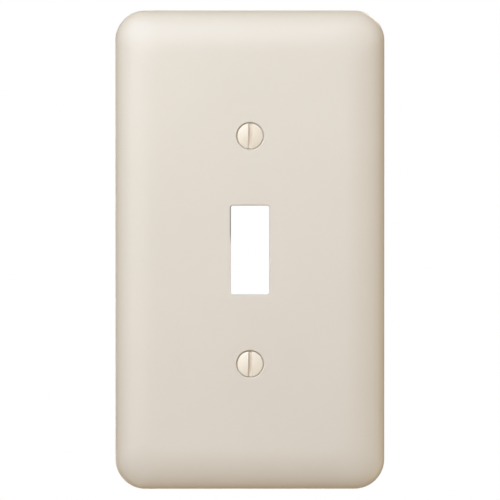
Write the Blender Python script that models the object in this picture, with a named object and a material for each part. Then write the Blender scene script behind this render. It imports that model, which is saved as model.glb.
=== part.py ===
"""One-gang toggle switch wall plate with its two oval-head mounting screws.

Metres, +Z up. The plate stands as it hangs on a wall: the wall is the plane Y = 0, the face
looks along -Y, and the origin is the centre of the toggle opening, in the plane of the wall.
The pieces are drawn lying on their backs, with height above the wall along local Z and the
plate's long side along local Y. One empty turns them all upright.
"""

import math

import bmesh
import bpy

MM = 0.001

# The plate: one pressed sheet of steel with a pillowed shoulder all round.
PLATE_WIDTH = 71.4 * MM
PLATE_LENGTH = 127.0 * MM
PLATE_DEPTH = 6.35 * MM
SHEET = 0.9 * MM
SHOULDER = 10.5 * MM  # from the outer edge to where the face turns flat
RIM_HEIGHT = 0.6 * MM  # the upright band that meets the wall
RIM_CORNER = 8.0 * MM  # plan radius of the outer corners
FLAT_CORNER = 5.0 * MM  # plan radius of the corners of the flat area

# The opening for the toggle.
OPENING_WIDTH = 10.2 * MM
OPENING_LENGTH = 23.55 * MM
OPENING_CORNER = 0.6 * MM
ROLLOVER = 0.32 * MM  # how far the pierced edge's rounding reaches over the face
ROLLOVER_DEPTH = 0.6 * MM

# The two countersunk dimples that the screws sit in.
SCREW_SPACING = 60.325 * MM
DIMPLE_MOUTH = 3.57 * MM  # radii
DIMPLE_SEAT = 3.55 * MM
DIMPLE_HOLE = 2.1 * MM
DIMPLE_LIP = 0.36 * MM  # how far the rounded lip reaches over the face
DIMPLE_LIP_DEPTH = 0.36 * MM
SEAT_DROP = 0.5 * MM  # from the face down to where the seat's cone starts
DIMPLE_DEPTH = 2.35 * MM

# The screws: 6-32 slotted oval head, half an inch long under the head's edge.
HEAD_RADIUS = 3.36 * MM
HEAD_SINK = 0.35 * MM  # from the face down to the lower edge of the head's rim
HEAD_RIM = 0.1 * MM
CROWN_RISE = 0.5 * MM
CONE_HALF_ANGLE = math.radians(41)
NECK_RADIUS = 1.49 * MM
SCREW_LENGTH = 12.7 * MM
THREAD_RADIUS = 3.505 / 2 * MM
THREAD_PITCH = 25.4 / 32 * MM
THREAD_DEPTH = 0.6134 * THREAD_PITCH
THREAD_TURNS = 12
# One pitch of the thread: (share of the pitch, 1 on the crest or 0 in the root).
THREAD_ROWS = [(0, 1), (0.125, 1), (0.5, 0), (0.75, 0)]
TIP_RADIUS = 1.0 * MM
TIP_CHAMFER = 0.35 * MM
SLOT_WIDTH = 1.0 * MM
SLOT_DEPTH = 1.0 * MM  # below the top of the crown
SLOT_TURN = math.radians(1.5)  # the slots stop just short of upright

# How finely the curves are divided.
SHOULDER_STEPS = 10
CORNER_STEPS = 8
EDGE_STEPS = 4
CROWN_STEPS = 4
ROUND_SEGMENTS = 40
THREAD_SEGMENTS = 24
SAME_POINT = 0.001 * MM  # points closer than this become one
PLATE_SHARP_ANGLE = math.radians(40)
SCREW_SHARP_ANGLE = math.radians(30)

ALMOND = (0.75, 0.68, 0.60, 1)
ALMOND_SCREW = (0.87, 0.78, 0.65, 1)
SATIN = 0.42
SEMI_GLOSS = 0.32


def clear_scene():
    for item in list(bpy.data.objects):
        bpy.data.objects.remove(item)


def painted(name, colour, roughness):
    """Baked enamel over steel."""
    material = bpy.data.materials.new(name)
    material.use_nodes = True
    shader = material.node_tree.nodes["Principled BSDF"]
    shader.inputs["Base Color"].default_value = colour
    shader.inputs["Roughness"].default_value = roughness
    shader.inputs["Metallic"].default_value = 0
    return material


def turn(share):
    """An angle from 0 to a quarter turn."""
    return math.pi / 2 * share


def circle(radius, height, centre_y=0.0, segments=ROUND_SEGMENTS):
    """A level circle of points about a line along local Z."""
    angles = [2 * math.pi * i / segments for i in range(segments)]
    return [
        (radius * math.cos(a), centre_y + radius * math.sin(a), height) for a in angles
    ]


def rounded_rectangle(half_width, half_length, corner, height):
    """A level rectangle with round corners, centred on the origin."""
    points = []
    for quarter, (side_x, side_y) in enumerate([(1, 1), (-1, 1), (-1, -1), (1, -1)]):
        centre_x = side_x * (half_width - corner)
        centre_y = side_y * (half_length - corner)
        for step in range(CORNER_STEPS + 1):
            angle = turn(quarter + step / CORNER_STEPS)
            x = centre_x + corner * math.cos(angle)
            y = centre_y + corner * math.sin(angle)
            points.append((x, y, height))
    return points


def band(bm, outlines):
    """Skins a row of outlines with quads. Returns the first and the last loop of vertices."""
    loops = [[bm.verts.new(point) for point in outline] for outline in outlines]
    for near, far in zip(loops, loops[1:]):
        for i in range(len(near)):
            j = (i + 1) % len(near)
            bm.faces.new((near[i], near[j], far[j], far[i]))
    return loops[0], loops[-1]


def fill_flat(bm, loops):
    """Fills the level area inside the first loop, leaving the others open as holes."""
    edges = [
        bm.edges.get((loop[i - 1], loop[i])) for loop in loops for i in range(len(loop))
    ]
    bmesh.ops.triangle_fill(bm, edges=edges, use_beauty=True)


def closed_mesh(bm, name, sharp_angle):
    """Turns a finished bmesh into a mesh with its faces pointing out."""
    bmesh.ops.recalc_face_normals(bm, faces=bm.faces)
    mesh = bpy.data.meshes.new(name)
    bm.to_mesh(mesh)
    bm.free()
    mesh.shade_smooth()
    mesh.set_sharp_from_angle(angle=sharp_angle)
    return mesh


def add_object(name, mesh, material, parent, location=(0, 0, 0)):
    item = bpy.data.objects.new(name, mesh)
    bpy.context.scene.collection.objects.link(item)
    item.parent = parent
    item.location = location
    if material is not None and not mesh.materials:
        mesh.materials.append(material)
    return item


def shoulder_outlines(reach, rise, rim_corner):
    """One side of the sheet, down a quarter ellipse from the edge of the flat to the rim."""
    outlines = []
    for step in range(SHOULDER_STEPS + 1):
        outward = math.sin(turn(step / SHOULDER_STEPS))
        height = RIM_HEIGHT + rise * math.cos(turn(step / SHOULDER_STEPS))
        inset = SHOULDER - reach * outward
        corner = FLAT_CORNER + (rim_corner - FLAT_CORNER) * outward
        outlines.append(
            rounded_rectangle(
                PLATE_WIDTH / 2 - inset, PLATE_LENGTH / 2 - inset, corner, height
            )
        )
    return outlines


def shell_outlines():
    """The shell from the edge of the flat face, over the rim, to the edge of the flat back."""
    front = shoulder_outlines(SHOULDER, PLATE_DEPTH - RIM_HEIGHT, RIM_CORNER)
    back = shoulder_outlines(
        SHOULDER - SHEET, PLATE_DEPTH - SHEET - RIM_HEIGHT, RIM_CORNER - SHEET
    )
    foot = [
        rounded_rectangle(
            PLATE_WIDTH / 2 - inset, PLATE_LENGTH / 2 - inset, RIM_CORNER - inset, 0
        )
        for inset in (0, SHEET)
    ]
    return front + foot + back[::-1]


def rounded_edge(reach, depth):
    """(how far outside the hole, how far below the face) over the rounding of a hole's edge."""
    angles = [turn(step / EDGE_STEPS) for step in range(EDGE_STEPS + 1)]
    return [(reach * (1 - math.sin(a)), depth * (1 - math.cos(a))) for a in angles]


def opening_outlines():
    """The toggle opening from the face to the back of the sheet."""
    steps = rounded_edge(ROLLOVER, ROLLOVER_DEPTH) + [(0, SHEET)]
    return [
        rounded_rectangle(
            OPENING_WIDTH / 2 + grow,
            OPENING_LENGTH / 2 + grow,
            OPENING_CORNER + grow,
            PLATE_DEPTH - drop,
        )
        for grow, drop in steps
    ]


def dimple_outlines(centre_y):
    """A pressed countersink from the face, through its hole, to the back of the sheet."""
    slope = math.tan(CONE_HALF_ANGLE)
    cone_end = SEAT_DROP + (DIMPLE_SEAT - DIMPLE_HOLE) / slope
    wall = SHEET / math.cos(CONE_HALF_ANGLE)
    rim_radius = DIMPLE_SEAT + wall - (DIMPLE_DEPTH - SEAT_DROP) * slope
    root_radius = DIMPLE_SEAT + wall - (SHEET - SEAT_DROP) * slope
    lip = rounded_edge(DIMPLE_LIP, DIMPLE_LIP_DEPTH)
    profile = [(DIMPLE_MOUTH + grow, drop) for grow, drop in lip]
    profile += [
        (DIMPLE_SEAT, SEAT_DROP),
        (DIMPLE_HOLE, cone_end),
        (DIMPLE_HOLE, DIMPLE_DEPTH),
        (rim_radius, DIMPLE_DEPTH),
        (root_radius, SHEET),
    ]
    return [circle(radius, PLATE_DEPTH - drop, centre_y) for radius, drop in profile]


def plate_mesh():
    """The plate as one closed skin: shell, opening, two dimples, flat face and flat back."""
    bm = bmesh.new()
    edges = [band(bm, shell_outlines()), band(bm, opening_outlines())]
    for centre_y in (SCREW_SPACING / 2, -SCREW_SPACING / 2):
        edges.append(band(bm, dimple_outlines(centre_y)))
    fill_flat(bm, [front for front, back in edges])
    fill_flat(bm, [back for front, back in edges])
    return closed_mesh(bm, "wall_plate", PLATE_SHARP_ANGLE)


def head_outlines():
    """The screw's crown, rim, cone and neck, from the first ring round the top downward."""
    crown_radius = (HEAD_RADIUS**2 + CROWN_RISE**2) / (2 * CROWN_RISE)
    widest = math.asin(HEAD_RADIUS / crown_radius)
    rim_top = HEAD_RIM - HEAD_SINK
    profile = []
    for step in range(1, CROWN_STEPS + 1):
        angle = widest * step / CROWN_STEPS
        height = rim_top + CROWN_RISE - crown_radius * (1 - math.cos(angle))
        profile.append((crown_radius * math.sin(angle), height))
    cone_length = (HEAD_RADIUS - NECK_RADIUS) / math.tan(CONE_HALF_ANGLE)
    profile += [
        (HEAD_RADIUS, -HEAD_SINK),
        (NECK_RADIUS, -HEAD_SINK - cone_length),
        (NECK_RADIUS, thread_top() + THREAD_DEPTH / 2),
        (THREAD_RADIUS - THREAD_DEPTH, thread_top()),
    ]
    return [
        circle(radius, height, segments=THREAD_SEGMENTS) for radius, height in profile
    ]


def tip_height():
    return -HEAD_SINK - SCREW_LENGTH


def thread_top():
    return tip_height() + TIP_CHAMFER + THREAD_TURNS * THREAD_PITCH


def thread_point(row, column):
    """A point of the thread's surface.

    Rows run on past both ends, where they gather on one circle at the root's radius."""
    along, on_crest = THREAD_ROWS[row % len(THREAD_ROWS)]
    turns_down = row // len(THREAD_ROWS) + along + column / THREAD_SEGMENTS - 1
    turns_down = min(max(turns_down, 0), THREAD_TURNS)
    run_out = min(turns_down, THREAD_TURNS - turns_down, 1)
    radius = THREAD_RADIUS - THREAD_DEPTH * (1 - on_crest * run_out)
    angle = 2 * math.pi * column / THREAD_SEGMENTS
    height = thread_top() - turns_down * THREAD_PITCH
    return radius * math.cos(angle), radius * math.sin(angle), height


def add_thread(bm):
    """Winds the thread's faces down the shank."""
    rows_per_turn = len(THREAD_ROWS)
    last_row = rows_per_turn * (THREAD_TURNS + 1)
    grid = [
        [bm.verts.new(thread_point(row, column)) for column in range(THREAD_SEGMENTS)]
        for row in range(last_row + 1)
    ]
    for row in grid:
        row.append(None)
    for index, row in enumerate(grid):
        row[-1] = grid[min(index + rows_per_turn, last_row)][0]
    for upper, lower in zip(grid, grid[1:]):
        for j in range(THREAD_SEGMENTS):
            corners = dict.fromkeys((upper[j], upper[j + 1], lower[j + 1], lower[j]))
            bm.faces.new(corners)


def screw_mesh():
    """A screw with its origin on its axis, level with the plate's face, its head up."""
    bm = bmesh.new()
    top_ring, _ = band(bm, head_outlines())
    crown_top = bm.verts.new((0, 0, HEAD_RIM - HEAD_SINK + CROWN_RISE))
    for i in range(THREAD_SEGMENTS):
        bm.faces.new((top_ring[i - 1], top_ring[i], crown_top))
    add_thread(bm)
    root_radius = THREAD_RADIUS - THREAD_DEPTH
    tip = [(root_radius, tip_height() + TIP_CHAMFER), (TIP_RADIUS, tip_height())]
    _, end_ring = band(
        bm, [circle(radius, height, segments=THREAD_SEGMENTS) for radius, height in tip]
    )
    bm.faces.new(end_ring)
    bmesh.ops.remove_doubles(bm, verts=bm.verts, dist=SAME_POINT)
    return closed_mesh(bm, "oval_head_screw", SCREW_SHARP_ANGLE)


def slot_mesh():
    """The cutter for a screwdriver slot, which runs along local Y across the whole head."""
    bm = bmesh.new()
    bmesh.ops.create_cube(bm, size=1)
    crown_top = HEAD_RIM - HEAD_SINK + CROWN_RISE
    floor = crown_top - SLOT_DEPTH
    roof = crown_top + SLOT_DEPTH
    size = (SLOT_WIDTH, 3 * HEAD_RADIUS, roof - floor)
    bmesh.ops.scale(bm, verts=bm.verts, vec=size)
    bmesh.ops.translate(bm, verts=bm.verts, vec=(0, 0, (roof + floor) / 2))
    return closed_mesh(bm, "slot_cutter", SCREW_SHARP_ANGLE)


def add_screw(name, mesh, material, parent, centre_y, cutter_mesh):
    """One screw in its dimple, with its slot cut across the head."""
    screw = add_object(name, mesh, material, parent, (0, centre_y, PLATE_DEPTH))
    screw.rotation_euler = (0, 0, -SLOT_TURN)
    cutter = add_object(name + "_slot_cutter", cutter_mesh, None, screw)
    cutter.hide_render = True
    cutter.display_type = "WIRE"
    slot = screw.modifiers.new("slot", "BOOLEAN")
    slot.operation = "DIFFERENCE"
    slot.object = cutter
    return screw


def build():
    clear_scene()
    wall = bpy.data.objects.new("wall_plane", None)
    wall.rotation_euler = (math.pi / 2, 0, 0)
    bpy.context.scene.collection.objects.link(wall)
    enamel = painted("almond_enamel", ALMOND, SATIN)
    screw_enamel = painted("almond_screw_enamel", ALMOND_SCREW, SEMI_GLOSS)
    add_object("wall_plate", plate_mesh(), enamel, wall)
    screw, cutter = screw_mesh(), slot_mesh()
    half = SCREW_SPACING / 2
    add_screw("upper_screw", screw, screw_enamel, wall, half, cutter)
    add_screw("lower_screw", screw, screw_enamel, wall, -half, cutter)


build()
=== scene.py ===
"""Looks for a one-gang toggle switch wall plate and its two screws.

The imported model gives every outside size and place. Each CAD node is replaced by a finer
closed mesh of the same piece. The plate's face looks along -Y and the wall is the plane Y = 0,
so a point of the plate is given by its x, its z and its height above the wall.
"""

import math

import bmesh
import bpy
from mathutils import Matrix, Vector


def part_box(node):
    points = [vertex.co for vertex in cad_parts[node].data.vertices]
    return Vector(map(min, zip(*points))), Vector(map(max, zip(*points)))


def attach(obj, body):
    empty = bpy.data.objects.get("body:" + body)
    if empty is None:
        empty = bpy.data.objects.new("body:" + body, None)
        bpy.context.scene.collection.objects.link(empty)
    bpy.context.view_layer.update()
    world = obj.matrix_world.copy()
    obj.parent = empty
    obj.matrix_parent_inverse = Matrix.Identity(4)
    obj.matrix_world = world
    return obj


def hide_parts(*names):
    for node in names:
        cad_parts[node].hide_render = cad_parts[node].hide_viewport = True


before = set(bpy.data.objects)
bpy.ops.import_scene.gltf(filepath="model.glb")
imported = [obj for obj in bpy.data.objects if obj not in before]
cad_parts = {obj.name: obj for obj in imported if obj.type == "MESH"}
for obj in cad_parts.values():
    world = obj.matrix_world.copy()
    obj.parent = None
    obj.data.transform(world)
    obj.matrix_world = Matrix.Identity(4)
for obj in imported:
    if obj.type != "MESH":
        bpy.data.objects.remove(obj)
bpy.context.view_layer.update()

MM = 0.001
SAME_POINT = 0.001 * MM  # points closer together than this are one point

# The pressed sheet. Its outline and depth come from the frame.
SHEET = 0.9 * MM
SHOULDER = 10.5 * MM
RIM_HEIGHT = 0.6 * MM
RIM_CORNER = 8.0 * MM
FLAT_CORNER = 5.0 * MM
FOOT_ROUND = 0.15 * MM  # the softened outer and inner edge of the rim that meets the wall
FLAT_MARGIN = 0.04 * MM  # a level strip inside each edge of the flat, so that it shades flat

OPENING_WIDTH = 10.2 * MM
OPENING_LENGTH = 23.55 * MM
OPENING_CORNER = 0.6 * MM
ROLLOVER = 0.32 * MM  # how far the pierced edge's rounding reaches over the face
ROLLOVER_DEPTH = 0.6 * MM
OPENING_BACK_ROUND = 0.08 * MM

# The two dimples. Depths are measured down from the face.
DIMPLE_DEPTH = 2.35 * MM
DIMPLE_MOUTH = 3.57 * MM
DIMPLE_LIP = 0.36 * MM  # how far the rounded lip reaches over the face
DIMPLE_LIP_DEPTH = 0.36 * MM
DIMPLE_STEP = 3.55 * MM  # the outer radius of the step between the mouth and the seat
DIMPLE_HOLE = 2.1 * MM
SEAT_START = 0.85 * MM  # the top of the cone that the head's own cone rests on
SEAT_STEP = 0.1 * MM  # how far the step falls towards that cone
SEAT_GAP = 0.06 * MM  # between the two cones, measured along a radius
CONE_START = 0.5 * MM  # the dimple's back lies a sheet's thickness off a cone from here
HOLE_FRONT_ROUND = 0.15 * MM
HOLE_BACK_ROUND = 0.06 * MM
DIMPLE_RIM_ROUND = 0.12 * MM  # round the flat ring that presses on the switch's strap
DIMPLE_ROOT_ROUND = 0.6 * MM  # where the dimple's back runs into the back of the sheet
DIMPLE_ROOT_RUN = 2 * MM  # enough of the sheet's back to round that corner against

# The screws. Their head's width, their place and their length come from the frame.
HEAD_SINK = 0.35 * MM  # the lower edge of the head's upright rim, below the plate's face
HEAD_RIM = 0.1 * MM
HEAD_EDGE_ROUND = 0.05 * MM
CROWN_RISE = 0.49 * MM
CONE_HALF_ANGLE = math.radians(41)  # an 82 degree countersink
NECK_RADIUS = 1.49 * MM
THREAD_RADIUS = 3.505 / 2 * MM  # a 6-32 thread: 3.505 mm across, 32 turns to the inch
THREAD_PITCH = 25.4 / 32 * MM
THREAD_DEPTH = 0.6134 * THREAD_PITCH  # the usual share for an outside thread
THREAD_TURNS = 12
TIP_RADIUS = 1.0 * MM
TIP_CHAMFER = 0.35 * MM
SLOT_WIDTH = 1.0 * MM
SLOT_DEPTH = 1.0 * MM  # below the top of the crown
SLOT_ROUND = 0.08 * MM
SLOT_ROUND_STEP = math.radians(13)
SLOT_FLOOR_ROUND = 0.38 * MM  # the enamel gathers along both sides of the slot's floor
SLOT_FLOOR_ROUND_LIMIT = 0.8  # the largest share of the slot's straight side it may take
SLOT_FLOOR_RISE = 0.28 * MM  # how much higher the floor is at the slot's ends
SLOT_TURN = math.radians(1.5)  # the slots aren't quite upright
CUTTER_REACH = 1.3  # how far the slot's cutter runs, in radii of the head
CUTTER_CLEARANCE = 1.5  # how far it stands above the head, in rises of the crown

# How finely the curves are divided.
SHOULDER_STEPS = 48
CORNER_STEPS = 24
EDGE_STEPS = 8
SMALL_FILLET_STEPS = 4
RIM_FILLET_STEPS = 6
ROOT_FILLET_STEPS = 10
DIMPLE_SEGMENTS = 128
CROWN_STEPS = 20
THREAD_SEGMENTS = 64
SLOT_LENGTH_STEPS = 32
SLOT_FLOOR_STEPS = 8
SLOT_ROUND_STEPS = 6
FLOOR_SEGMENTS = 96

# Edges sharper than these are shaded as edges.
PLATE_SHARP_ANGLE = math.radians(50)
SCREW_SHARP_ANGLE = math.radians(35)
FLOOR_SHARP_ANGLE = math.radians(30)

# The camera stands almost straight in front of the plate. The frame is square.
CAMERA_DISTANCE = 1.6
CAMERA_TO_LEFT = math.radians(0.5)
CAMERA_RISE = math.radians(0.7)
FRAME_WIDTH = 132.28 * MM  # what the frame takes in at the plate's face
AIM_X = -0.02 * MM
AIM_Z = 0.02 * MM
SENSOR = 36.0
NEAREST, FURTHEST = 0.05, 50  # what the camera can see lies between these

# The studio: white behind, a weak light from all round and soft lights aimed at the plate.
WHITE = (1.0, 1.0, 1.0)
COOL = (0.745, 0.857, 1.0)
WARM = (1.0, 0.91, 0.77)
WARMER = (1.0, 0.87, 0.67)
AROUND_STRENGTH = 0.16
SOFTBOXES = [
    # name, polar and azimuth in degrees, distance, size, power, colour
    ("key", 40, 118, 0.65, 0.5, 2.97, COOL),
    ("spot", 52, 137, 0.8, 0.22, 1.0, COOL),
    ("front", 14, 110, 0.8, 0.5, 0.65, WHITE),
    ("left", 38, 178, 0.8, 0.4, 1.3, WARM),
    ("top_right", 50, 47, 0.8, 0.3, 1.15, WARM),
    ("side", 88, 332, 0.8, 0.6, 2.05, WARM),
    ("below", 88, 252, 0.8, 0.5, 1.22, WARM),
    ("back_key", 136, 52, 0.9, 0.25, 2.6, WHITE),
    ("back_fill", 160, 230, 0.9, 0.7, 3.0, WARM),
]
FLOOR_DROP = 1.0  # the plate hangs on a wall, well above the floor
FLOOR_RADIUS = 4.5
FLOOR_COLOUR = (0.8, 0.8, 0.79)
FLOOR_ROUGHNESS = 0.9
FLOOR_LAMP_POWER = 240


def remap(share, low, high):
    """low when share is 0, high when it is 1."""
    return low + (high - low) * share


def quarter(step, steps):
    """An angle from 0 to a quarter turn."""
    return math.pi / 2 * step / steps


# ---------------------------------------------------------------- mesh helpers


def rounded_rectangle(half_width, half_length, corner, height):
    """A closed outline parallel to the wall, centred on the origin."""
    points = []
    for turn, (side_x, side_z) in enumerate([(1, 1), (-1, 1), (-1, -1), (1, -1)]):
        centre_x = side_x * (half_width - corner)
        centre_z = side_z * (half_length - corner)
        for step in range(CORNER_STEPS + 1):
            angle = quarter(turn * CORNER_STEPS + step, CORNER_STEPS)
            x = centre_x + corner * math.cos(angle)
            z = centre_z + corner * math.sin(angle)
            points.append(Vector((x, -height, z)))
    return points


def circle(radius, height, segments, centre_z=0.0):
    """A closed outline parallel to the wall, about a line along Y."""
    angles = [2 * math.pi * i / segments for i in range(segments)]
    return [
        Vector((radius * math.cos(a), -height, centre_z + radius * math.sin(a)))
        for a in angles
    ]


def band(bm, outlines, material):
    """Skins a row of outlines with quads. Returns its first and last loop of vertices.

    material is one slot number, or a list with one for each strip."""
    loops = [[bm.verts.new(point) for point in outline] for outline in outlines]
    for strip, (near, far) in enumerate(zip(loops, loops[1:])):
        for i in range(len(near)):
            j = (i + 1) % len(near)
            face = bm.faces.new((near[i], near[j], far[j], far[i]))
            face.material_index = material if isinstance(material, int) else material[strip]
    return loops[0], loops[-1]


def fill_flat(bm, loops, material):
    """Fills the level area inside the first loop, leaving the others open as holes."""
    edges = [bm.edges.get((loop[i - 1], loop[i])) for loop in loops for i in range(len(loop))]
    made = bmesh.ops.triangle_fill(bm, edges=edges, use_beauty=True)["geom"]
    for face in made:
        if isinstance(face, bmesh.types.BMFace):
            face.material_index = material


def shade(mesh, sharp_angle):
    """Smooth shading, but for edges sharper than the angle."""
    mesh.shade_smooth()
    mesh.set_sharp_from_angle(angle=sharp_angle)


def closed_object(bm, name, materials, sharp_angle):
    """Turns the bmesh into an object of the scene."""
    bmesh.ops.recalc_face_normals(bm, faces=bm.faces)
    mesh = bpy.data.meshes.new(name)
    bm.to_mesh(mesh)
    bm.free()
    for material in materials:
        mesh.materials.append(material)
    shade(mesh, sharp_angle)
    item = bpy.data.objects.new(name, mesh)
    bpy.context.scene.collection.objects.link(item)
    return item


# ---------------------------------------------------------------- the plate

FRONT, BACK, EDGE = 0, 1, 2  # the plate's material slots


class PlateSizes:
    """The plate's outside sizes, read from the frame."""

    def __init__(self):
        low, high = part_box("wall_plate")
        self.half_width = (high.x - low.x) / 2
        self.half_length = (high.z - low.z) / 2
        self.depth = high.y - low.y


def shoulder_outlines(size, reach, rise, rim_corner):
    """One side of the sheet, down a quarter ellipse from the edge of the flat to the rim."""
    outlines = []
    for step in range(SHOULDER_STEPS + 1):
        angle = quarter(step, SHOULDER_STEPS)
        outward = math.sin(angle)
        inset = SHOULDER - reach * outward
        outlines.append(
            rounded_rectangle(
                size.half_width - inset,
                size.half_length - inset,
                remap(outward, FLAT_CORNER, rim_corner),
                RIM_HEIGHT + rise * math.cos(angle),
            )
        )
    return outlines


def flat_edge(size, height):
    """The level strip just inside the edge of the flat."""
    inset = SHOULDER + FLAT_MARGIN
    return rounded_rectangle(
        size.half_width - inset, size.half_length - inset, FLAT_CORNER - FLAT_MARGIN, height
    )


def foot_outlines(size):
    """The end of the rim, from its outer side to its inner side, with both edges softened."""
    steps = []
    for step in range(EDGE_STEPS + 1):
        angle = quarter(step, EDGE_STEPS)
        steps.append((FOOT_ROUND * (1 - math.cos(angle)), FOOT_ROUND * (1 - math.sin(angle))))
    steps += [(SHEET - inset, height) for inset, height in reversed(steps)]
    return [
        rounded_rectangle(
            size.half_width - inset, size.half_length - inset, RIM_CORNER - inset, height
        )
        for inset, height in steps
    ]


def shell_band(bm, size):
    """The sheet's shoulder from the front, the end of its rim and its hollow back."""
    front = [flat_edge(size, size.depth)]
    front += shoulder_outlines(size, SHOULDER, size.depth - RIM_HEIGHT, RIM_CORNER)
    back = [flat_edge(size, size.depth - SHEET)]
    back += shoulder_outlines(
        size, SHOULDER - SHEET, size.depth - SHEET - RIM_HEIGHT, RIM_CORNER - SHEET
    )
    foot = foot_outlines(size)
    outlines = front + foot + back[::-1]
    front_strips = len(front) + len(foot) - 1
    materials = [FRONT] * front_strips + [BACK] * (len(outlines) - 1 - front_strips)
    return band(bm, outlines, materials)


def rounded_edge(reach, depth):
    """(how far outside the hole, how far below the face) over the rounding of a hole's edge."""
    angles = [quarter(step, EDGE_STEPS) for step in range(EDGE_STEPS + 1)]
    rounding = [(reach * (1 - math.sin(a)), depth * (1 - math.cos(a))) for a in angles]
    return [(reach + FLAT_MARGIN, 0)] + rounding


def opening_band(bm, size):
    """The toggle opening, from the face to the back of the sheet."""
    steps = rounded_edge(ROLLOVER, ROLLOVER_DEPTH)
    back = rounded_edge(OPENING_BACK_ROUND, OPENING_BACK_ROUND)
    steps += [(grow, SHEET - drop) for grow, drop in reversed(back)]
    outlines = [
        rounded_rectangle(
            OPENING_WIDTH / 2 + grow,
            OPENING_LENGTH / 2 + grow,
            OPENING_CORNER + grow,
            size.depth - drop,
        )
        for grow, drop in steps
    ]
    return band(bm, outlines, [FRONT] + [EDGE] * (len(outlines) - 2))


def fillet(corner, before, after, radius, steps):
    """An arc that rounds the corner between two straight runs of a profile."""
    corner, before, after = Vector(corner), Vector(before), Vector(after)
    towards_before = (before - corner).normalized()
    towards_after = (after - corner).normalized()
    half_angle = towards_before.angle(towards_after) / 2
    middle = (towards_before + towards_after).normalized()
    centre = corner + middle * radius / math.sin(half_angle)
    start = corner + towards_before * radius / math.tan(half_angle) - centre
    end = corner + towards_after * radius / math.tan(half_angle) - centre
    points = []
    for step in range(steps + 1):
        ray = start.lerp(end, step / steps).normalized()
        points.append(tuple(centre + ray * radius))
    return points


def dimple_band(bm, size, centre_z, head_radius):
    """A pressed countersink, from the face through its hole to the back of the sheet.

    Its profile is made of (radius, depth below the face)."""
    slope = math.tan(CONE_HALF_ANGLE)
    wall = SHEET / math.cos(CONE_HALF_ANGLE)
    seat_radius = head_radius + SEAT_GAP - (SEAT_START - HEAD_SINK) * slope
    cone_end = SEAT_START + (seat_radius - DIMPLE_HOLE) / slope
    back_cone = DIMPLE_STEP + wall + CONE_START * slope
    rim = (back_cone - DIMPLE_DEPTH * slope, DIMPLE_DEPTH)
    root = (back_cone - SHEET * slope, SHEET)
    beyond = (root[0] + DIMPLE_ROOT_RUN, SHEET)
    lip = rounded_edge(DIMPLE_LIP, DIMPLE_LIP_DEPTH)
    front = [(DIMPLE_MOUTH + grow, drop) for grow, drop in lip]
    front += [(DIMPLE_STEP, SEAT_START - SEAT_STEP), (seat_radius, SEAT_START)]
    hole_start = (DIMPLE_HOLE, cone_end)
    hole_end = (DIMPLE_HOLE, DIMPLE_DEPTH)
    front += fillet(hole_start, front[-1], hole_end, HOLE_FRONT_ROUND, SMALL_FILLET_STEPS)
    back = fillet(hole_end, front[-1], rim, HOLE_BACK_ROUND, SMALL_FILLET_STEPS)
    back += fillet(rim, back[-1], root, DIMPLE_RIM_ROUND, RIM_FILLET_STEPS)
    back += fillet(root, back[-1], beyond, DIMPLE_ROOT_ROUND, ROOT_FILLET_STEPS)
    back.append((back[-1][0] + FLAT_MARGIN, SHEET))
    outlines = [
        circle(radius, size.depth - drop, DIMPLE_SEGMENTS, centre_z)
        for radius, drop in front + back
    ]
    materials = [FRONT] * len(front) + [BACK] * (len(back) - 1)
    return band(bm, outlines, materials)


def make_plate(materials):
    size = PlateSizes()
    bm = bmesh.new()
    edges = [shell_band(bm, size), opening_band(bm, size)]
    for node in ("upper_screw", "lower_screw"):
        low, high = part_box(node)
        edges.append(dimple_band(bm, size, (low.z + high.z) / 2, (high.x - low.x) / 2))
    fill_flat(bm, [front for front, back in edges], FRONT)
    fill_flat(bm, [back for front, back in edges], BACK)
    return closed_object(bm, "wall_plate_pressing", materials, PLATE_SHARP_ANGLE)


# ---------------------------------------------------------------- the screws

PAINT, ZINC, SLOT_PAINTED_SHADE = 0, 1, 2  # a screw's material slots
BARE_STRIPS = 3  # of the head's profile: its cone, its neck and the way down to the thread


def crown_top(face):
    """The height above the wall of the top of the crown."""
    return face - HEAD_SINK + HEAD_RIM + CROWN_RISE


def crown_height(distance, head_radius, face):
    """The crown's height above the wall at a distance from the screw's axis."""
    radius = (head_radius**2 + CROWN_RISE**2) / (2 * CROWN_RISE)
    drop = radius - math.sqrt(radius**2 - min(distance, head_radius) ** 2)
    return crown_top(face) - drop


def head_profile(head_radius, face, thread_top):
    """(radius, height above the wall) from the first ring round the crown's top downward."""
    profile = []
    for step in range(1, CROWN_STEPS + 1):
        distance = head_radius * step / CROWN_STEPS
        profile.append((distance, crown_height(distance, head_radius, face)))
    edge_low = face - HEAD_SINK
    neck_height = edge_low - (head_radius - NECK_RADIUS) / math.tan(CONE_HALF_ANGLE)
    rim_top = profile.pop()
    profile += fillet(
        rim_top, profile[-1], (head_radius, edge_low), HEAD_EDGE_ROUND, SMALL_FILLET_STEPS
    )
    profile += [
        (head_radius, edge_low),
        (NECK_RADIUS, neck_height),
        (NECK_RADIUS, thread_top + THREAD_DEPTH / 2),
        (THREAD_RADIUS - THREAD_DEPTH, thread_top),
    ]
    return profile


# One pitch of the thread: (share of the pitch, share of the depth), crest to crest.
THREAD_ROWS = [
    (0.0, 0.93),
    (0.03, 1.0),
    (0.11, 1.0),
    (0.14, 0.93),
    (0.48, 0.06),
    (0.53, 0.0),
    (0.73, 0.0),
    (0.78, 0.06),
]


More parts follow.
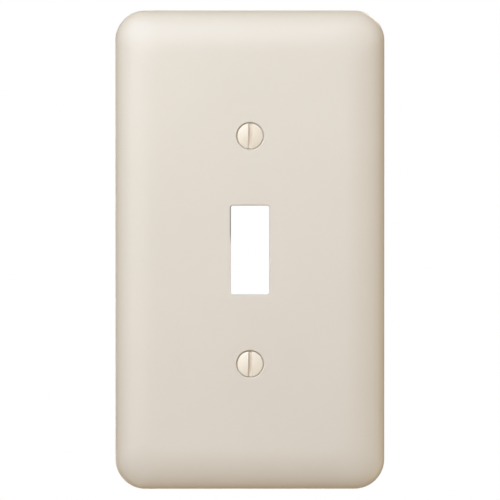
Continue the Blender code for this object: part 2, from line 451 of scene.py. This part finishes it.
def thread_point(row, column, thread_top):
    """A point of the thread, as (x, depth down the shank from thread_top's height, z)."""
    along, crest = THREAD_ROWS[row % len(THREAD_ROWS)]
    turns = row // len(THREAD_ROWS) + along + column / THREAD_SEGMENTS - 1
    turns = min(max(turns, 0), THREAD_TURNS)
    run_out = min(turns, THREAD_TURNS - turns, 1)
    radius = THREAD_RADIUS - THREAD_DEPTH * (1 - crest * run_out)
    angle = 2 * math.pi * column / THREAD_SEGMENTS
    return Vector(
        (radius * math.cos(angle), turns * THREAD_PITCH - thread_top, radius * math.sin(angle))
    )


def add_thread(bm, thread_top):
    """The thread as one skin. Each of its rows ends one pitch further down than it starts."""
    rows = len(THREAD_ROWS)
    last_row = rows * (THREAD_TURNS + 1)
    grid = [
        [bm.verts.new(thread_point(row, column, thread_top)) for column in range(THREAD_SEGMENTS)]
        for row in range(last_row + 1)
    ]
    ends = [grid[min(index + rows, last_row)][0] for index in range(last_row + 1)]
    for row, end in zip(grid, ends):
        row.append(end)
    for upper, lower in zip(grid, grid[1:]):
        for j in range(THREAD_SEGMENTS):
            corners = dict.fromkeys((upper[j], upper[j + 1], lower[j + 1], lower[j]))
            bm.faces.new(corners).material_index = ZINC


def slot_half_section(z, head_radius, face):
    """Half of the slot's section at a place along it, as (x, height above the wall), from its
    floor up its side. The side flares at the crown, which rounds the slot's edge."""
    side = SLOT_WIDTH / 2
    surface = crown_height(abs(z), head_radius, face)
    floor = crown_top(face) - SLOT_DEPTH
    floor += SLOT_FLOOR_RISE * min(abs(z) / head_radius, 1) ** 2
    straight = surface - SLOT_ROUND - floor
    rounding = min(SLOT_FLOOR_ROUND, SLOT_FLOOR_ROUND_LIMIT * straight)
    half = fillet((side, floor), (0, floor), (side, face), rounding, SLOT_FLOOR_STEPS)
    for step in range(SLOT_ROUND_STEPS + 1):
        angle = step * SLOT_ROUND_STEP
        flare = SLOT_ROUND * (1 - math.cos(angle))
        half.append((side + flare, surface - SLOT_ROUND * (1 - math.sin(angle))))
    half.append((half[-1][0] + SLOT_ROUND, surface + CUTTER_CLEARANCE * CROWN_RISE))
    return half


def slot_cutter(head_radius, face):
    """A closed body along Z that fills the slot and stands out at its ends and its top."""
    bm = bmesh.new()
    sections = []
    for step in range(SLOT_LENGTH_STEPS + 1):
        z = remap(step / SLOT_LENGTH_STEPS, -CUTTER_REACH, CUTTER_REACH) * head_radius
        half = slot_half_section(z, head_radius, face)
        section = [(-x, height) for x, height in reversed(half)] + half
        sections.append([Vector((x, -height, z)) for x, height in section])
    first, last = band(bm, sections, SLOT_PAINTED_SHADE)
    bm.faces.new(first)
    bm.faces.new(last)
    return closed_object(bm, "slot_cutter", [], SCREW_SHARP_ANGLE)


def make_screw(node, materials):
    """A slotted oval-head screw on the axis of its CAD node, with its thread wound on."""
    low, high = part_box(node)
    head_radius = (high.x - low.x) / 2
    face = -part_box("wall_plate")[0].y
    tip = -high.y
    thread_top = tip + TIP_CHAMFER + THREAD_TURNS * THREAD_PITCH
    bm = bmesh.new()
    outlines = [
        circle(radius, height, THREAD_SEGMENTS)
        for radius, height in head_profile(head_radius, face, thread_top)
    ]
    painted_strips = len(outlines) - 1 - BARE_STRIPS
    top_ring, _ = band(bm, outlines, [PAINT] * painted_strips + [ZINC] * BARE_STRIPS)
    middle = bm.verts.new((0, -crown_height(0, head_radius, face), 0))
    for i in range(THREAD_SEGMENTS):
        bm.faces.new((top_ring[i - 1], top_ring[i], middle))
    add_thread(bm, thread_top)
    chamfer = [
        circle(THREAD_RADIUS - THREAD_DEPTH, tip + TIP_CHAMFER, THREAD_SEGMENTS),
        circle(TIP_RADIUS, tip, THREAD_SEGMENTS),
    ]
    _, end_ring = band(bm, chamfer, ZINC)
    bm.faces.new(end_ring).material_index = ZINC
    bmesh.ops.remove_doubles(bm, verts=bm.verts, dist=SAME_POINT)
    screw = closed_object(bm, node + "_turned", materials, SCREW_SHARP_ANGLE)
    cut_slot(screw, slot_cutter(head_radius, face))
    screw.location = (0, 0, (low.z + high.z) / 2)
    screw.rotation_euler = (0, SLOT_TURN, 0)
    return screw


def cut_slot(screw, cutter):
    """Cuts the slot and keeps the result as the screw's own mesh."""
    modifier = screw.modifiers.new("slot", "BOOLEAN")
    modifier.operation = "DIFFERENCE"
    modifier.object = cutter
    graph = bpy.context.evaluated_depsgraph_get()
    mesh = bpy.data.meshes.new_from_object(screw.evaluated_get(graph))
    if not mesh.polygons:
        raise RuntimeError("the slot's cut left nothing of the screw")
    screw.modifiers.clear()
    screw.data = mesh
    bm = bmesh.new()
    bm.from_mesh(mesh)
    bmesh.ops.dissolve_degenerate(bm, dist=SAME_POINT, edges=bm.edges)
    bm.to_mesh(mesh)
    bm.free()
    shade(mesh, SCREW_SHARP_ANGLE)
    bpy.data.objects.remove(cutter)


# ---------------------------------------------------------------- materials

FACE_PAINT = (0.752, 0.68, 0.596)
BACK_PAINT = (0.68, 0.625, 0.55)
# the slot's paint is darker than the heads' paint: painted shade in the slot
SLOT_PAINTED_SHADE_TONE = (0.79, 0.7, 0.585)

# The lower screw's paint is lighter than the upper's: painted light, making up for the weaker
# light that reaches it.
SCREW_PAINTS_WITH_PAINTED_LIGHT = {
    "upper_screw": (0.852, 0.757, 0.63),
    "lower_screw": (0.908, 0.816, 0.695),
}

# The enamels' roughness.
DULL = 0.55
CUT_SATIN = 0.45
SATIN = 0.4
SEMI_GLOSS = 0.3

# How the enamel varies: shares of its colour, steps of its roughness and depths of relief.
TONE_DRIFT = 0.012
GLOSS_DRIFT = 0.03
PEEL = 0.003 * MM
BACK_PEEL = 0.006 * MM
GRAIN = 0.0006 * MM

# How large the features of each of these are.
TONE_DRIFT_SIZE = 30 * MM
GLOSS_DRIFT_SIZE = 9 * MM
PEEL_SIZE = 1.3 * MM
GRAIN_SIZE = 0.22 * MM

# Where the tone changes: painted shade and light, and a thin coat on the cut. Each pair gives the
# start and the end of a change.
STEEP = (0.95, 0.6)  # by what facing() gives
# painted shade: the steep sides are tinted darker and warmer
STEEP_PAINTED_SHADE_TINT = (1, 0.97, 0.92)
CUT = (0.5, 0.44)  # by what facing() gives
# the cut is darker: a thin coat there, and painted shade
CUT_THIN_COAT_AND_SHADE_TONE = (0.45, 0.4, 0.34)
LEFT_EDGE = (0.2, 0.6)  # by how far the surface has turned to the right
LEFT_CHANGE = (0.5 * MM, 5 * MM)  # by height, from painted light below to painted shadow above
# painted light on the lower left of the opening, painted shadow on its upper left
LEFT_PAINTED_LIGHT_TONE = (0.93, 0.9, 0.86)
LEFT_PAINTED_SHADOW_TONE = (0.17, 0.145, 0.12)

ZINC_DARK = (0.56, 0.57, 0.58)
ZINC_LIGHT = (0.68, 0.69, 0.69)
ZINC_ROUGHNESS = (0.26, 0.4)
ZINC_CLOUD_SIZE = 0.8 * MM

NOISE_LOW, NOISE_HIGH = 0.3, 0.7  # noise mostly stays between these


def new_material(name):
    material = bpy.data.materials.new(name)
    material.use_nodes = True
    nodes = material.node_tree.nodes
    return material, nodes, material.node_tree.links, nodes["Principled BSDF"]


def noise(nodes, links, coordinates, size, detail=2.0, roughness=0.5):
    """Noise whose features are about size metres across."""
    texture = nodes.new("ShaderNodeTexNoise")
    texture.inputs["Scale"].default_value = 1 / size
    texture.inputs["Detail"].default_value = detail
    texture.inputs["Roughness"].default_value = roughness
    links.new(coordinates, texture.inputs["Vector"])
    return texture.outputs["Fac"]


def spread(nodes, links, value, low, high):
    """Maps noise from the range that it mostly stays in to low and high."""
    mapping = nodes.new("ShaderNodeMapRange")
    mapping.inputs["From Min"].default_value = NOISE_LOW
    mapping.inputs["From Max"].default_value = NOISE_HIGH
    mapping.inputs["To Min"].default_value = low
    mapping.inputs["To Max"].default_value = high
    links.new(value, mapping.inputs["Value"])
    return mapping.outputs["Result"]


def bump(nodes, links, height, depth, before=None):
    """Relief whose lows and highs are about depth metres apart."""
    node = nodes.new("ShaderNodeBump")
    node.inputs["Strength"].default_value = 1
    node.inputs["Distance"].default_value = depth
    links.new(height, node.inputs["Height"])
    if before is not None:
        links.new(before, node.inputs["Normal"])
    return node.outputs["Normal"]


def ramp(nodes, links, value, start, end):
    """0 before start, 1 past end and smooth between them, whichever is the greater."""
    mapping = nodes.new("ShaderNodeMapRange")
    mapping.interpolation_type = "SMOOTHSTEP"
    mapping.inputs["From Min"].default_value = start
    mapping.inputs["From Max"].default_value = end
    links.new(value, mapping.inputs["Value"])
    return mapping.outputs["Result"]


def mix_tones(nodes, links, share, first, second, blend_type="MIX"):
    """Blends two colours, each either a node's output or a plain value."""
    mix = nodes.new("ShaderNodeMix")
    mix.data_type = "RGBA"
    mix.blend_type = blend_type
    for name, colour in (("A", first), ("B", second)):
        if isinstance(colour, tuple):
            mix.inputs[name].default_value = (*colour, 1)
        else:
            links.new(colour, mix.inputs[name])
    links.new(share, mix.inputs["Factor"])
    return mix.outputs["Result"]


def components(nodes, links, vector):
    """The X, Y and Z of a vector."""
    split = nodes.new("ShaderNodeSeparateXYZ")
    links.new(vector, split.inputs["Vector"])
    return split.outputs


def facing(nodes, links):
    """How squarely a surface faces the room or the wall: 1 when it is parallel to the wall."""
    normal = nodes.new("ShaderNodeTexCoord").outputs["Normal"]
    size = nodes.new("ShaderNodeMath")
    size.operation = "ABSOLUTE"
    links.new(components(nodes, links, normal)["Y"], size.inputs[0])
    return size.outputs[0]


def shoulder_painted_shade(nodes, links, tone):
    """Steep sides are tinted darker and warmer: painted shade, standing in for the warm light
    that reaches them.
    """
    steep = ramp(nodes, links, facing(nodes, links), *STEEP)
    return mix_tones(nodes, links, steep, tone, STEEP_PAINTED_SHADE_TINT, "MULTIPLY")


def pierced_edge_thin_coat_and_painted_shade(nodes, links, tone):
    """The cut itself is darker: a thin coat there, and painted shade. On the left of the opening
    the upper half is darkened, painted shadow, and the lower half is lightened over the rounding
    too, painted light."""
    cut = ramp(nodes, links, facing(nodes, links), *CUT)
    tone = mix_tones(nodes, links, cut, tone, CUT_THIN_COAT_AND_SHADE_TONE)
    coordinates = nodes.new("ShaderNodeTexCoord")
    height = components(nodes, links, coordinates.outputs["Object"])["Z"]
    upper = ramp(nodes, links, height, *LEFT_CHANGE)
    left_painted_light_and_shadow = mix_tones(nodes, links, upper, LEFT_PAINTED_LIGHT_TONE, LEFT_PAINTED_SHADOW_TONE)
    rightward = components(nodes, links, coordinates.outputs["Normal"])["X"]
    left = ramp(nodes, links, rightward, *LEFT_EDGE)
    return mix_tones(nodes, links, left, tone, left_painted_light_and_shadow)


def enamel(name, colour, roughness, peel=PEEL, coat=None):
    """Baked enamel: a faint drift in tone, orange peel and a fine satin grain.

    coat is a function that changes its tone on parts of the surface: painted shade and light, and
    a thin coat on the cut."""
    material, nodes, links, shader = new_material(name)
    place = nodes.new("ShaderNodeTexCoord").outputs["Object"]
    drift = noise(nodes, links, place, TONE_DRIFT_SIZE)
    lighter = tuple(min(c * (1 + TONE_DRIFT), 1) for c in colour)
    darker = tuple(c * (1 - TONE_DRIFT) for c in colour)
    tone = mix_tones(nodes, links, spread(nodes, links, drift, 0, 1), darker, lighter)
    if coat is not None:
        tone = coat(nodes, links, tone)
    links.new(tone, shader.inputs["Base Color"])
    patches = noise(nodes, links, place, GLOSS_DRIFT_SIZE, detail=3)
    gloss = spread(nodes, links, patches, roughness - GLOSS_DRIFT, roughness + GLOSS_DRIFT)
    links.new(gloss, shader.inputs["Roughness"])
    waves = bump(nodes, links, noise(nodes, links, place, PEEL_SIZE), peel)
    grain = noise(nodes, links, place, GRAIN_SIZE, detail=3)
    links.new(bump(nodes, links, grain, GRAIN, waves), shader.inputs["Normal"])
    return material


def zinc_plate():
    """Bright zinc on the screw's shank and thread."""
    material, nodes, links, shader = new_material("zinc_plate")
    shader.inputs["Metallic"].default_value = 1
    place = nodes.new("ShaderNodeTexCoord").outputs["Object"]
    cloud = spread(nodes, links, noise(nodes, links, place, ZINC_CLOUD_SIZE, detail=4), 0, 1)
    tone = mix_tones(nodes, links, cloud, ZINC_DARK, ZINC_LIGHT)
    links.new(tone, shader.inputs["Base Color"])
    links.new(spread(nodes, links, cloud, *ZINC_ROUGHNESS), shader.inputs["Roughness"])
    return material


# ---------------------------------------------------------------- the studio


def make_camera():
    face = -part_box("wall_plate")[0].y
    data = bpy.data.cameras.new("camera")
    data.sensor_width = SENSOR
    data.lens = SENSOR * CAMERA_DISTANCE / FRAME_WIDTH
    data.clip_start, data.clip_end = NEAREST, FURTHEST
    camera = bpy.data.objects.new("camera", data)
    level = math.cos(CAMERA_RISE)
    leftward, outward = math.sin(CAMERA_TO_LEFT) * level, math.cos(CAMERA_TO_LEFT) * level
    towards_camera = Vector((-leftward, -outward, math.sin(CAMERA_RISE)))
    camera.location = Vector((AIM_X, -face, AIM_Z)) + towards_camera * CAMERA_DISTANCE
    camera.rotation_euler = towards_camera.to_track_quat("Z", "Y").to_euler()
    bpy.context.scene.collection.objects.link(camera)
    bpy.context.scene.camera = camera


def area_light(name, size, power, colour):
    """A square light that shines down."""
    data = bpy.data.lights.new(name, "AREA")
    data.size = size
    data.energy = power
    data.color = colour
    light = bpy.data.objects.new(name, data)
    light.visible_camera = False
    bpy.context.scene.collection.objects.link(light)
    return light


def softbox(name, polar, azimuth, distance, size, power, colour):
    """A square light aimed at the plate. polar is its angle off the line straight out from
    the face, and azimuth turns about that line, from the right, anticlockwise."""
    polar, azimuth = math.radians(polar), math.radians(azimuth)
    sideways = math.sin(polar)
    away = Vector(
        (sideways * math.cos(azimuth), -math.cos(polar), sideways * math.sin(azimuth))
    )
    light = area_light(name, size, power, colour)
    light.location = away * distance
    light.rotation_euler = away.to_track_quat("Z", "Y").to_euler()


def make_world():
    """White behind the object, and a weaker even light from all round."""
    world = bpy.data.worlds.new("studio")
    bpy.context.scene.world = world
    world.use_nodes = True
    nodes, links = world.node_tree.nodes, world.node_tree.links
    nodes.clear()
    seen = nodes.new("ShaderNodeBackground")
    seen.inputs["Color"].default_value = (*WHITE, 1)
    seen.inputs["Strength"].default_value = 1
    around = nodes.new("ShaderNodeBackground")
    around.inputs["Color"].default_value = (*WARMER, 1)
    around.inputs["Strength"].default_value = AROUND_STRENGTH
    ray = nodes.new("ShaderNodeLightPath")
    mix = nodes.new("ShaderNodeMixShader")
    out = nodes.new("ShaderNodeOutputWorld")
    links.new(ray.outputs["Is Camera Ray"], mix.inputs[0])
    links.new(around.outputs[0], mix.inputs[1])
    links.new(seen.outputs[0], mix.inputs[2])
    links.new(mix.outputs[0], out.inputs["Surface"])


def make_floor():
    """A pale round floor, and a lamp below the plate that lights it."""
    bm = bmesh.new()
    bmesh.ops.create_circle(bm, cap_ends=True, radius=FLOOR_RADIUS, segments=FLOOR_SEGMENTS)
    material, _, _, shader = new_material("pale_floor")
    shader.inputs["Base Color"].default_value = (*FLOOR_COLOUR, 1)
    shader.inputs["Roughness"].default_value = FLOOR_ROUGHNESS
    floor = closed_object(bm, "floor", [material], FLOOR_SHARP_ANGLE)
    floor.location = (0, 0, -FLOOR_DROP)
    floor.visible_diffuse = False  # so that its own lamp doesn't bounce up onto the plate
    floor.visible_glossy = False
    lamp = area_light("floor_lamp", 2 * FLOOR_RADIUS, FLOOR_LAMP_POWER, WHITE)
    lamp.location = (0, 0, -FLOOR_DROP / 2)


def make_studio():
    bpy.context.scene.view_settings.view_transform = "Standard"
    make_world()
    make_floor()
    for values in SOFTBOXES:
        softbox(*values)


# ---------------------------------------------------------------- assembly


def main():
    make_camera()
    # the face's enamel carries painted warm shade on its steep sides
    almond = enamel("baked_almond_enamel", FACE_PAINT, SATIN, coat=shoulder_painted_shade)
    almond_back = enamel("baked_almond_enamel_back", BACK_PAINT, DULL, BACK_PEEL)
    # the pierced edge's enamel carries painted shade and painted light
    almond_edge_painted_shade = enamel(
        "baked_almond_enamel_edge_painted_shade", FACE_PAINT, CUT_SATIN, coat=pierced_edge_thin_coat_and_painted_shade
    )
    # painted shade in the screws' slots
    almond_slot_painted_shade = enamel("baked_almond_screw_slot_painted_shade", SLOT_PAINTED_SHADE_TONE, SATIN)
    zinc = zinc_plate()
    plate = make_plate([almond, almond_back, almond_edge_painted_shade])
    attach(plate, "plate")
    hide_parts("wall_plate")
    # the lower screw's lighter paint is painted light
    for node, colour in SCREW_PAINTS_WITH_PAINTED_LIGHT.items():
        almond_screw = enamel("baked_" + node + "_enamel", colour, SEMI_GLOSS)
        screw = make_screw(node, [almond_screw, zinc, almond_slot_painted_shade])
        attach(screw, node + "_body")
        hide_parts(node)
    make_studio()


main()
